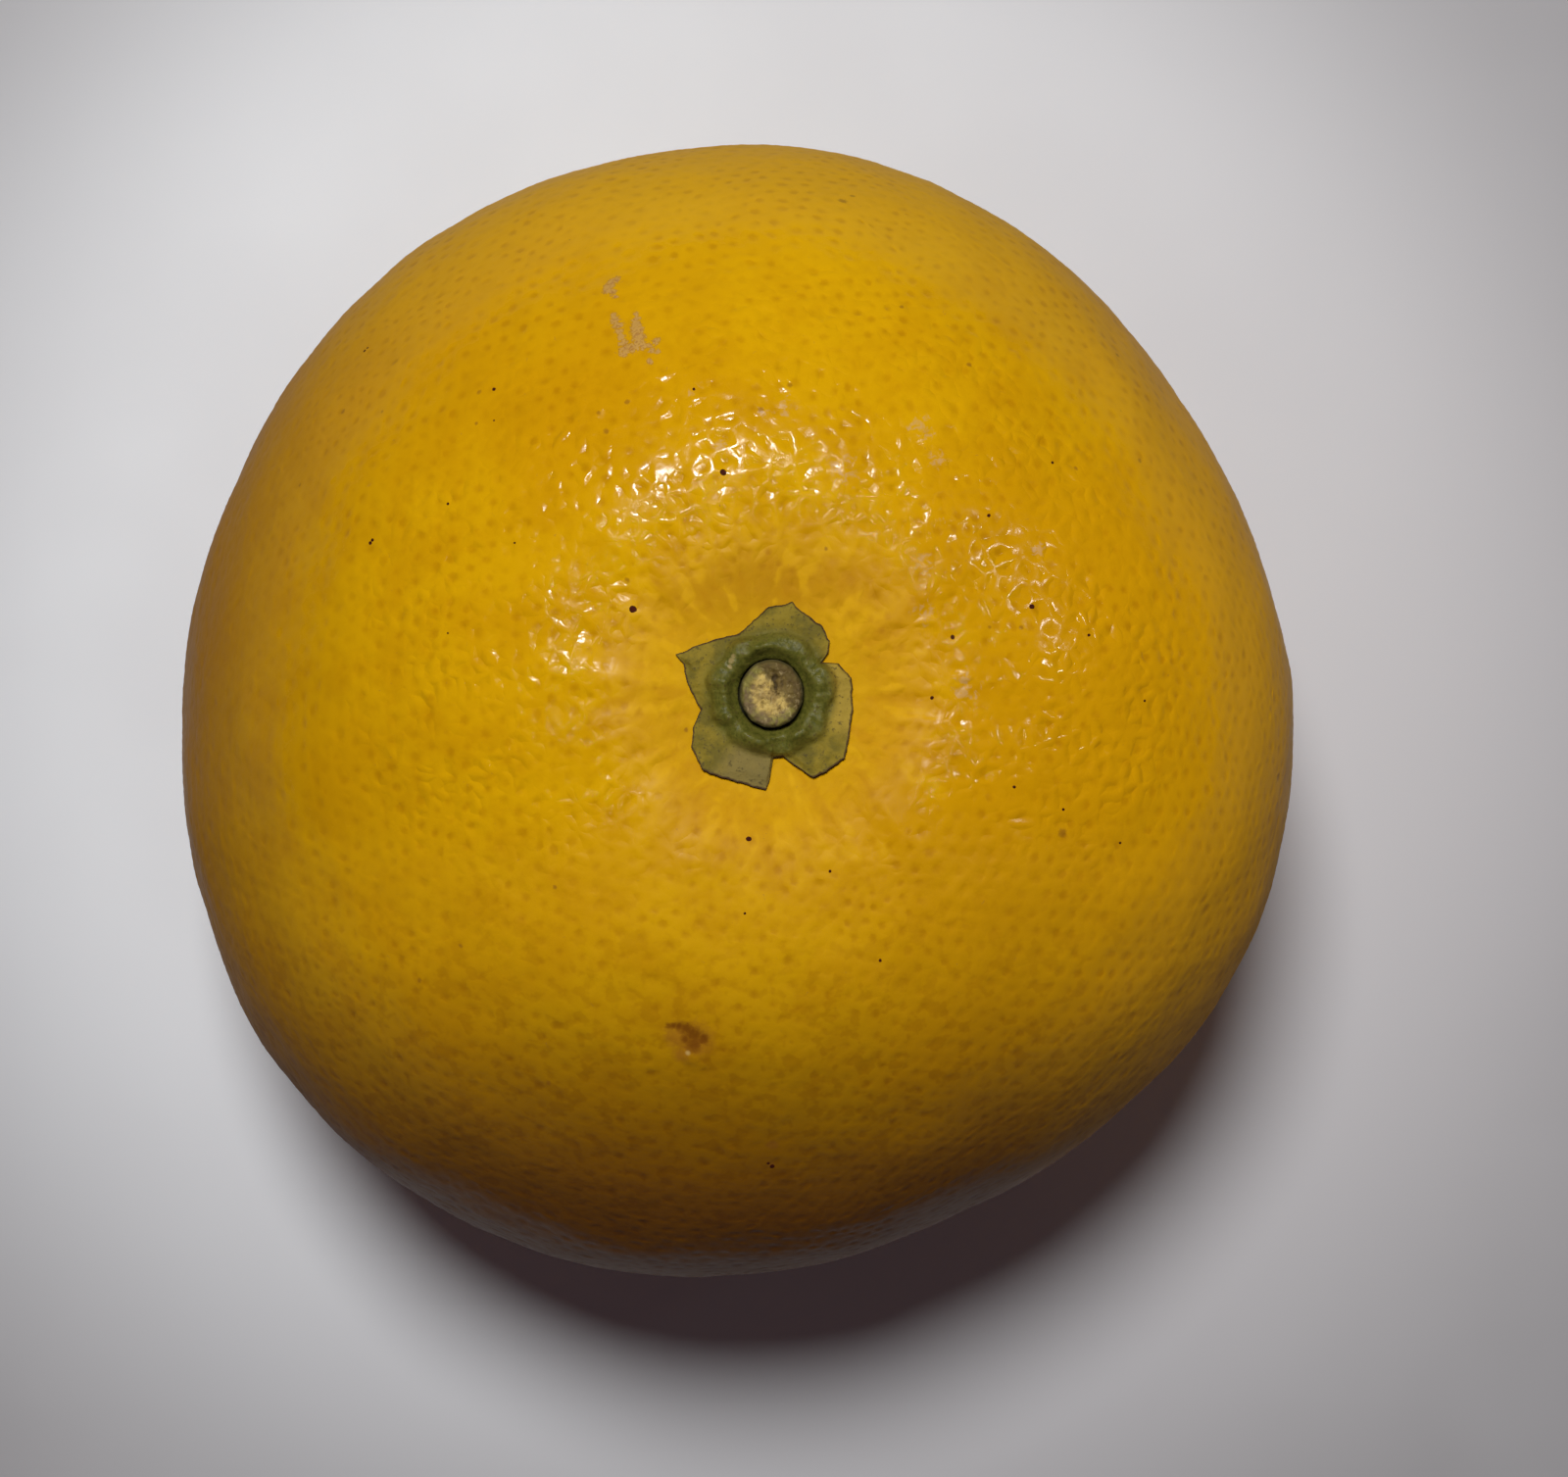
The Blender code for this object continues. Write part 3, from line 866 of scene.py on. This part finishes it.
def starSpokes():
    # every corner of the star, and steps along its edges
    corners = [aroundAxis(math.radians(angle)).xy * reach for angle, reach in calyx["corners"]]
    height, fineness, pattern = calyx["ragged"]
    spokes = []
    for here, following in zip(corners, corners[1:] + corners[:1]):
        steps = max(1, math.ceil((following - here).length / calyx["edgeStep"]))
        for step in range(steps):
            place = here.lerp(following, step / steps)
            ragged = 1 + ripple(Vector((place.x, place.y, pattern)), height, fineness)
            spokes.append((math.atan2(place.y, place.x), place.length * ragged))
    return spokes


def holeReach(angle):
    # the collar's hole is a little longer than wide, as the stem is
    return calyx["hole"] * math.hypot(math.cos(angle), math.sin(angle) * calyx["stretch"])


def collarShape(around, reach):
    # the collar's share of its full height: a steep inner side, a shoulder and a last drop
    crest = calyx["crest"] + ripple(around, *calyx["crestWander"])
    if reach < crest:
        return raised(reach - crest, calyx["collarIn"])
    foot = calyx["collarFoot"] * (1 + ripple(around, *calyx["footWander"]))
    shoulder = calyx["shoulder"]
    sloped = 1 - shoulder * softStep(crest, foot - calyx["shoulderEnd"], reach)
    return sloped - (1 - shoulder) * softStep(foot - calyx["dropStart"], foot, reach)


def calyxHeight(angle, reach, edgeGap):
    around = aroundAxis(angle)
    place = around * reach
    lumps = sum(ripple(place, *lump) for lump in calyx["lumps"])
    collar = collarShape(around, reach) * calyx["collarHeight"]
    collar *= (1 + ripple(around, *calyx["heightWander"])) * (1 + lumps)
    full, thin = calyx["thickness"], calyx["edgeThickness"]
    blade = thin + (full - thin) * softStep(0.0, calyx["edgeWidth"], edgeGap)
    height, across, along = calyx["rays"]
    wrinkle = ripple(around, height, across, (0, 0, reach * along))
    wrinkle += sum(ripple(place, *fold) for fold in calyx["wrinkles"])
    return blade + collar + wrinkle * softStep(0.0, calyx["wrinkleEdge"], edgeGap)


def calyxCurl(angle, share):
    # how far the sepals lift off the peel towards their edge
    least, fineness, pattern = calyx["curlWander"]
    return calyx["curl"] * share**4 * (least + ripple(aroundAxis(angle, pattern), 1.0, fineness))


def makeCalyx(material):
    spokes = starSpokes()
    shape = bmesh.new()
    spokeOf = shape.verts.layers.int.new("spoke")
    shareOf = shape.verts.layers.float.new("share")
    edgeOf = shape.verts.layers.float.new("edgeGap")
    collarOf = shape.verts.layers.float.new("fromStem")
    greyOf = shape.verts.layers.float.new("greyLobe")
    paleOf = shape.verts.layers.float.new("paleLobe")
    made = bmesh.ops.create_circle(shape, segments=len(spokes), radius=1.0)
    for index, vert in enumerate(made["verts"]):
        vert[spokeOf] = index
    rim = list(shape.edges)
    for ring in range(1, calyx["rings"] + 1):
        corners, rim = grownRim(shape, rim)
        for vert in corners:
            vert[shareOf] = math.sin(ring / calyx["rings"] * math.pi / 2)  # rings crowd at the edge
    grey, pale = calyx["greyLobe"], calyx["paleLobe"]
    for vert in shape.verts:
        angle, edge = spokes[vert[spokeOf]]
        hole = holeReach(angle)
        reach = hole + (edge - hole) * vert[shareOf]
        vert[edgeOf] = edge - reach
        vert[collarOf] = reach
        vert[greyOf] = band(grey["degrees"], math.degrees(angle) % 360) * softStep(*grey["reach"], reach)
        rightward = math.degrees(math.acos(math.cos(angle - math.radians(pale["middle"]))))
        vert[paleOf] = (1 - softStep(*pale["degrees"], rightward)) * softStep(*pale["reach"], reach)
        place = stemFoot + aroundAxis(angle) * reach * mm
        place.z = peelTree.ray_cast(Vector((place.x, place.y, 1.0)), Vector((0, 0, -1)))[0].z
        place.z += (calyx["gap"] + calyxCurl(angle, vert[shareOf])) * mm
        vert.co = place
    lifted = bmesh.ops.extrude_face_region(shape, geom=list(shape.faces))["geom"]
    for vert in (item for item in lifted if isinstance(item, bmesh.types.BMVert)):
        angle = spokes[vert[spokeOf]][0]
        vert.co.z += calyxHeight(angle, vert[collarOf], vert[edgeOf]) * mm
    bmesh.ops.recalc_face_normals(shape, faces=list(shape.faces))
    return newPiece("calyxStar", shape, material, "calyx")


# Looks of the calyx: noises as size, detail and roughness; limits in millimetres from the stem or edge
calyxLook = {
    "roughness": 0.5,
    "ior": 1.38,
    "blotch": (2.4 * mm, 4, 0.6),
    "fine": (0.45 * mm, 4, 0.65),
    "outwardWander": 2.2,
    "outward": (4.9, 6.9),
    "collarGrain": (0.35, 0.65),
    "collarColours": ((0.080, 0.081, 0.011), (0.155, 0.145, 0.022)),
    "sepalGrain": (0.40, 0.62),
    "sepalColours": ((0.275, 0.198, 0.016), (0.155, 0.120, 0.012)),
    "lobeShare": 0.75,
    "greyColour": (0.225, 0.170, 0.050),
    "paleColour": (0.43, 0.290, 0.036),
    "scarShare": 0.7,
    "scarLimits": (0.2, 0.7),
    "scarColour": (0.40, 0.300, 0.115),
    "spots": (0.56, 0.66, 0.75, (0.075, 0.055, 0.015)),
    "edgeWander": 0.35,
    "dryEdge": (0.05, 0.24, 0.92, 0.0),
    "dryColour": (0.045, 0.018, 0.009),
    "gloss": (5.0, 6.2, 0.30, 0.72),
    "bumpDepth": 0.14 * mm,
    "bumpStrength": 0.8,
    # dry scars on the sepals: place from the stem's foot, then size
    "scars": (
        (-3.45, 3.5, 1.8, 0.24), (-3.65, 3.05, 1.8, 0.28), (-3.8, 2.5, 1.8, 0.24), (-4.5, 2.3, 1.6, 0.26),
    ),
}


def calyxMaterial():
    look = calyxLook
    material, tree, shader = newMaterial("driedCalyx", look["roughness"], ior=look["ior"])
    coords = objectCoords(tree)
    blotch = speckle(tree, coords, *look["blotch"])
    fine = speckle(tree, coords, *look["fine"])
    fromStem = painted(tree, "fromStem")
    outward = ramp(tree, strayed(tree, fromStem, blotch, look["outwardWander"]), *look["outward"])
    green = mixColour(tree, ramp(tree, fine, *look["collarGrain"]), *look["collarColours"])
    olive = mixColour(tree, ramp(tree, blotch, *look["sepalGrain"]), *look["sepalColours"])
    colour = mixColour(tree, outward, green, olive)
    for layer, tone in (("greyLobe", look["greyColour"]), ("paleLobe", look["paleColour"])):
        colour = mixColour(tree, times(tree, painted(tree, layer), look["lobeShare"]), colour, tone)
    scars = [(stemFoot + Vector(place) * mm, size * mm) for *place, size in look["scars"]]
    scarred = ramp(tree, spotMask(tree, coords, scars), *look["scarLimits"])
    colour = mixColour(tree, times(tree, scarred, look["scarShare"]), colour, look["scarColour"])
    colour = tinted(tree, colour, fine, look["spots"])
    edge = strayed(tree, painted(tree, "edgeGap"), fine, look["edgeWander"])
    colour = mixColour(tree, ramp(tree, edge, *look["dryEdge"]), colour, look["dryColour"])
    tree.links.new(colour, shader.inputs["Base Color"])
    tree.links.new(ramp(tree, fromStem, *look["gloss"]), shader.inputs["Roughness"])
    tree.links.new(bumped(tree, fine, look["bumpDepth"], look["bumpStrength"]), shader.inputs["Normal"])
    return material


makeCalyx(calyxMaterial())
print("calyx made")

# The cut stem in the collar. Its lengths are in millimetres.
stem = {
    "radius": 2.95,
    "stretch": 1.08,
    "segments": 112,
    "rings": 26,
    "root": 0.8,
    "height": 2.45,
    "barkShare": 0.55,  # the height of the ring between the cut face and the root
    "offset": 0.06,
    "bark": (0.025, 3),
    # the cut face: heights with their finenesses, by share of the radius
    "bend": (0.5, 0.6, 9.0),
    "fibre": (0.20, 2.6, 0.7, 1.0),
    "crumbHeight": 0.24,
    "crumbs": ((0.6, 3.2), (0.3, 7.0)),
    "crack": (2.1, 0.9, (6, 2, 3.0)),
    "crackEdge": (0.25, 5.0),
    "crackLimits": (0.20, 0.40),
    "crackShare": 0.6,
    "crackDepth": 0.40,
    "heart": (0.45, 0.75),
    # the split that runs down from the top of the heart
    "splitPlace": 0.25,
    "splitWidth": 0.26,
    "splitSway": (0.5, 1.6),
    "splitStart": (0.1, 0.5),
    "ridge": (0.62, 0.80, 0.86, 1.0),
    "ridgeHeight": 0.10,
    "rimRound": 0.35,
    "rightward": 0.8,  # how much the stem's dark side leans to the top of the picture
}


def stemFibre(x, y):
    height, across, along, pattern = stem["fibre"]
    return height * noise.noise(Vector((x * across, y * along, pattern)))


def stemCracks(x, bent, y, heart):
    # one where the cut face is cracked, and less beside the cracks
    place = Vector((x, y, 0.0))
    across, along, shift = stem["crack"]
    crack = noise.noise(Vector((bent * across, y * along, 0.0)) + Vector(shift))
    crack += ripple(place, *stem["crackEdge"])
    small = softStep(*stem["crackLimits"], crack) * heart
    fromSplit = x - stem["splitPlace"] - ripple(place, *stem["splitSway"])
    split = raised(fromSplit, stem["splitWidth"]) * softStep(*stem["splitStart"], y) * heart
    return max(small * stem["crackShare"], split)


def stemTop(x, y, share):
    # fibres and cracks of the cut face over its level, and how cracked it is here
    height, fineness, pattern = stem["bend"]
    bent = x + height * noise.noise(Vector((x * fineness, y * fineness, pattern)))
    cracked = stemCracks(x, bent, y, 1 - softStep(*stem["heart"], share))
    crumb = sum(ripple(Vector((x, y, 0.0)), *crumbs) for crumbs in stem["crumbs"])
    relief = stemFibre(bent, y) + stem["crumbHeight"] * crumb - stem["crackDepth"] * cracked
    relief += stem["ridgeHeight"] * band(stem["ridge"], share)
    relief -= stem["rimRound"] * softStep(*stem["ridge"][2:], share) ** 2
    return relief, cracked


def makeStem(material):
    shape = bmesh.new()
    shareOf = shape.verts.layers.float.new("share")
    crackOf = shape.verts.layers.float.new("crack")
    rightOf = shape.verts.layers.float.new("rightward")
    made = bmesh.ops.create_circle(shape, segments=stem["segments"], radius=stem["radius"])
    for vert in made["verts"]:
        vert[shareOf] = 1.0
    side = rim = list(shape.edges)
    for ring in range(1, stem["rings"]):
        corners, rim = grownRim(shape, rim)
        share = 1 - ring / stem["rings"]
        for vert in corners:
            vert.co = vert.co.normalized() * stem["radius"] * share
            vert[shareOf] = share
    heart = bmesh.ops.edgeloop_fill(shape, edges=rim)["faces"]
    bmesh.ops.poke(shape, faces=heart)
    for vert in shape.verts:
        bark = 1 + ripple(vert.co.normalized(), *stem["bark"]) * vert[shareOf]
        vert.co.x *= bark
        vert.co.y *= stem["stretch"] * bark
        relief, vert[crackOf] = stemTop(vert.co.x, vert.co.y, vert[shareOf])
        vert[rightOf] = (vert.co.x + stem["rightward"] * vert.co.y) / stem["radius"]
        vert.co.z = stem["height"] + relief
    for level in (stem["height"] * stem["barkShare"], -stem["root"]):
        corners, side = grownRim(shape, side)
        for vert in corners:
            vert.co.z = level
    bmesh.ops.edgeloop_fill(shape, edges=side)
    bmesh.ops.recalc_face_normals(shape, faces=list(shape.faces))
    everyVert = list(shape.verts)
    bmesh.ops.scale(shape, vec=(mm, mm, mm), verts=everyVert)
    bmesh.ops.translate(shape, vec=stemFoot + Vector((stem["offset"] * mm, 0.0, 0.0)), verts=everyVert)
    return newPiece("cutStem", shape, material, "stem_stub")


# Looks of the stem: noises as size, detail, roughness and distortion; tints as for the peel
stemLook = {
    "roughness": 0.7,
    "patch": (1.3 * mm, 4, 0.65, 0.4),
    "fibre": (0.60 * mm, 4, 0.65, 0.8),
    "heartPatches": (0.42, 0.60),
    "heartColours": ((0.60, 0.430, 0.120), (0.33, 0.220, 0.065)),
    "barkPatches": (0.42, 0.58),
    "barkColours": ((0.235, 0.200, 0.040), (0.19, 0.130, 0.055)),
    "heartWander": 0.5,
    "heartEdge": (0.52, 0.76),
    "darkWander": 0.8,
    "darkSide": (0.08, 0.42, 0.85, (0.105, 0.066, 0.014)),
    "darkFibres": (0.58, 0.70, 0.70, (0.07, 0.050, 0.014)),
    "paleFibres": (0.44, 0.36, 0.35, (0.60, 0.470, 0.220)),
    # the cracks darker, partly their own colour and partly painted shade in them
    "cracks": (0.10, 0.90, 0.80, (0.045, 0.028, 0.010)),
    "rim": (0.88, 1.00, 0.85, (0.075, 0.065, 0.018)),
    "bumpDepth": 0.20 * mm,
    "bumpStrength": 0.9,
}


def stemMaterial():
    look = stemLook
    material, tree, shader = newMaterial("cutStemWood", look["roughness"])
    coords = objectCoords(tree)
    patch = speckle(tree, coords, *look["patch"])
    fibre = speckle(tree, coords, *look["fibre"])
    share = painted(tree, "share")
    heart = mixColour(tree, ramp(tree, patch, *look["heartPatches"]), *look["heartColours"])
    bark = mixColour(tree, ramp(tree, patch, *look["barkPatches"]), *look["barkColours"])
    outward = ramp(tree, strayed(tree, share, patch, look["heartWander"]), *look["heartEdge"])
    colour = mixColour(tree, outward, heart, bark)
    rightward = strayed(tree, painted(tree, "rightward"), patch, look["darkWander"])
    colour = tinted(tree, colour, rightward, look["darkSide"])
    colour = tinted(tree, colour, fibre, look["darkFibres"])
    colour = tinted(tree, colour, fibre, look["paleFibres"])
    # partly painted shade in the cracks
    colour = tinted(tree, colour, painted(tree, "crack"), look["cracks"])
    colour = tinted(tree, colour, share, look["rim"])
    tree.links.new(colour, shader.inputs["Base Color"])
    tree.links.new(bumped(tree, fibre, look["bumpDepth"], look["bumpStrength"]), shader.inputs["Normal"])
    return material


makeStem(stemMaterial())
print("stem made")

# Table, light and air
studio = {
    "tableSize": 4.0,
    "tableColour": (0.95, 0.985, 1.0),
    "tableRoughness": 0.62,
    # painted shade: the table darkens towards the lower right, and round the fruit beyond a bright ring, as
    # the light falls off
    "falloffSlant": 0.5,
    "tablePaintedFalloff": (-110 * mm, 150 * mm, 1.0, (0.725, 0.715, 0.72)),
    "tablePaintedVignette": (76 * mm, 143 * mm, 1.0, (0.44, 0.435, 0.44)),
    "tableMiddle": (0.0, 8.0 * mm, 0.0),
    "tableCloud": (0.35, 0.65, 0.18, (0.68, 0.68, 0.69)),
    "cloudSize": 60 * mm,
    "aim": (0.0, 0.0, 0.06),
    "keyDistance": 0.62,
    "keyElevation": 71.9,
    "keyAzimuth": 99.5,  # from picture right, so above the picture and a little left
    "keySize": 0.155,
    "keyPower": 3.14,
    "keyColour": (0.99, 0.985, 1.0),
    # small lamps that sparkle on the wax: tilt from straight up, azimuth, size, power
    "sparks": (
        (27.0, 104.0, 0.034, 0.85), (19.0, 130.0, 0.020, 0.07), (24.0, 80.0, 0.022, 0.10),
        (36.0, 20.0, 0.026, 0.24), (14.5, 168.0, 0.018, 0.02), (5.0, 30.0, 0.018, 0.06),
    ),
    "sparkDistance": 0.5,
    "sparkColour": (1.0, 0.99, 0.97),
    "air": 0.042,
    "airColour": (1.0, 0.68, 0.80, 1.0),
}


def tableMaterial():
    material, tree, shader = newMaterial("paleTable", studio["tableRoughness"])
    coords = objectCoords(tree)
    cloud = speckle(tree, coords, studio["cloudSize"])
    split = addNode(tree, "ShaderNodeSeparateXYZ", {"Vector": coords}).outputs
    # painted shade: the table darker towards the lower right and round the fruit
    falloffAxis = doMath(tree, "SUBTRACT", split["X"], times(tree, split["Y"], studio["falloffSlant"]))
    colour = tinted(tree, studio["tableColour"], falloffAxis, studio["tablePaintedFalloff"])
    colour = tinted(tree, colour, gapTo(tree, coords, studio["tableMiddle"]), studio["tablePaintedVignette"])
    colour = tinted(tree, colour, cloud, studio["tableCloud"])
    tree.links.new(colour, shader.inputs["Base Color"])
    return material


def makeTable():
    shape = bmesh.new()
    bmesh.ops.create_grid(shape, x_segments=2, y_segments=2, size=studio["tableSize"] / 2)
    mesh = bpy.data.meshes.new("table")
    shape.to_mesh(mesh)
    shape.free()
    mesh.materials.append(tableMaterial())
    table = bpy.data.objects.new("table", mesh)
    bpy.context.scene.collection.objects.link(table)


def addLamp(name, way, distance, size, power, colour):
    # a round lamp that shines on the fruit from this way
    lamp = bpy.data.lights.new(name, "AREA")
    lamp.shape = "DISK"
    lamp.size = size
    lamp.energy = power
    lamp.color = colour
    holder = bpy.data.objects.new(name, lamp)
    holder.location = Vector(studio["aim"]) + way * distance
    holder.rotation_euler = (-way).to_track_quat("-Z", "Y").to_euler()
    bpy.context.scene.collection.objects.link(holder)
    return holder


def wayUp(tilt, azimuth):
    # a direction, by its tilt from straight up and its azimuth in degrees
    lean = math.radians(tilt)
    return aroundAxis(math.radians(azimuth)) * math.sin(lean) + Vector((0.0, 0.0, math.cos(lean)))


def makeLamps():
    keyWay = wayUp(90 - studio["keyElevation"], studio["keyAzimuth"])
    key = addLamp(
        "keyLamp", keyWay, studio["keyDistance"], studio["keySize"], studio["keyPower"], studio["keyColour"]
    )
    key.visible_glossy = False  # it is so broad that its reflection would veil the wax
    for tilt, azimuth, size, power in studio["sparks"]:
        way = wayUp(tilt, azimuth)
        spark = addLamp("spark", way, studio["sparkDistance"], size, power, studio["sparkColour"])
        spark.visible_diffuse = False  # it would cast a second shadow


def makeAir():
    world = bpy.data.worlds.new("air")
    world.use_nodes = True
    air = world.node_tree.nodes["Background"]
    air.inputs["Color"].default_value = studio["airColour"]
    air.inputs["Strength"].default_value = studio["air"]
    bpy.context.scene.world = world
    bpy.context.scene.view_settings.view_transform = "Standard"


makeTable()
makeLamps()
makeAir()
print("studio lit")

bpy.context.view_layer.update()
